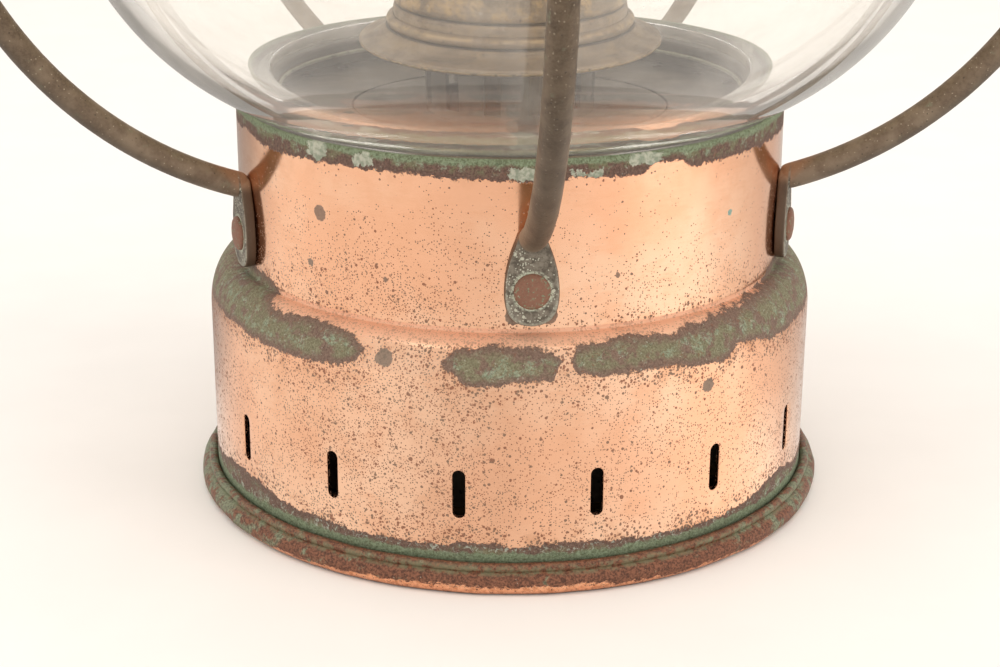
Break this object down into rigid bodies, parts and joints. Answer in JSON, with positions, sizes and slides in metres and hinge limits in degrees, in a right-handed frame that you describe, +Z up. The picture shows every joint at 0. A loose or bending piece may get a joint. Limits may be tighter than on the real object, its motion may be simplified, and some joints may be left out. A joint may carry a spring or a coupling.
{
  "type": "onion globe lantern",
  "caption": "Copper ship's oil lantern: slotted spun base, onion-shaped clear glass globe inside bent guard rods, round-wick burner, hinged vented hood and wire bail.",
  "frame": {"origin": "centre of the circle the lantern stands on, at floor level, which is the bottom centre of its box", "axes": "+Z up along the lantern's axis; -Y to the front, through guard_rod_1; +X to the lantern's right as the front faces the viewer; the bail turns about an axis along X"},
  "size_m": [0.2764, 0.2903, 0.3997],
  "materials": {
    "copper": "spun copper, polished, with brown and green patina at the edges",
    "copper_brown": "copper gone brown",
    "cushion_felt": "dark felt",
    "tarnished_plate": "tinned plate, dull grey",
    "font_brass": "brass, satin",
    "burner_brass": "brass, aged",
    "wick_cotton": "woven cotton",
    "chimney_glass": "clear glass",
    "globe_glass": "clear blown glass",
    "rod_bronze": "dark brown bronze rod with a little green",
    "rivet_copper": "copper, brown with green edges",
    "bail_bronze": "dark bronze wire",
    "fitting_brass": "aged brass"
  },
  "bodies": {
    "lantern": {"base_shell": "copper", "foot_ring": "copper_brown", "globe_seat": "copper_brown", "globe_cushion": "cushion_felt", "draught_plate": "tarnished_plate", "font_retainer": "copper_brown", "globe": "globe_glass", "guard_rod_1": "rod_bronze", "guard_rod_2": "rod_bronze", "guard_rod_3": "rod_bronze", "guard_rod_4": "rod_bronze", "guard_rod_5": "rod_bronze", "lower_rivets": "rivet_copper", "upper_rivets": "rivet_copper", "top_cushion": "cushion_felt", "upper_collar": "copper", "bail_studs": "fitting_brass", "hinge_leaf_fixed": "fitting_brass", "hinge_pin": "fitting_brass", "clasp_stud": "fitting_brass"},
    "font_and_burner": {"font_base": "font_brass", "font_grip": "font_brass", "font_body": "font_brass", "font_collar": "font_brass", "burner_base": "burner_brass", "burner_skirt": "burner_brass", "burner_drum": "burner_brass", "wick_tube": "burner_brass", "gallery": "burner_brass", "chimney": "chimney_glass"},
    "filler_cap_body": {"filler_cap": "font_brass"},
    "wick_winder": {"wick_spindle": "burner_brass", "wick_knob": "burner_brass"},
    "wick_body": {"wick": "wick_cotton"},
    "bail_body": {"bail": "bail_bronze"},
    "hood": {"hood_cone": "copper", "vent_ring": "copper_brown", "heat_baffle": "copper_brown", "vent_cap": "copper", "finial": "fitting_brass", "hinge_leaf_moving": "fitting_brass", "hood_clasp": "fitting_brass"}
  },
  "joints": [
    {"name": "hood_hinge", "type": "hinge", "parent": "lantern", "child": "hood", "pos_m": [0, 0.0635, 0.3125], "axis": [-1, 0, 0], "range_deg": [0, 100]},
    {"name": "bail_swing", "type": "hinge", "parent": "lantern", "child": "bail_body", "pos_m": [0, 0, 0.297], "axis": [1, 0, 0], "range_deg": [0, 226]},
    {"name": "font_twist", "type": "hinge", "parent": "lantern", "child": "font_and_burner", "pos_m": [0, 0, 0.0125], "axis": [0, 0, 1], "range_deg": [0, 30]},
    {"name": "filler_cap_turn", "type": "hinge", "parent": "font_and_burner", "child": "filler_cap_body", "pos_m": [0, 0.045, 0.084], "axis": [0, 0, 1], "continuous": true},
    {"name": "wick_knob_turn", "type": "hinge", "parent": "font_and_burner", "child": "wick_winder", "pos_m": [0, -0.0152, 0.141], "axis": [1, 0, 0], "range_deg": [-120, 150]},
    {"name": "wick_raise", "type": "slide", "parent": "font_and_burner", "child": "wick_body", "axis": [0, 0, 1], "range_m": [-0.0092, 0.0115]}
  ],
  "couplings": [
    {"joint": "wick_raise", "follows": "wick_knob_turn", "m_per_rad": 0.0042}
  ]
}
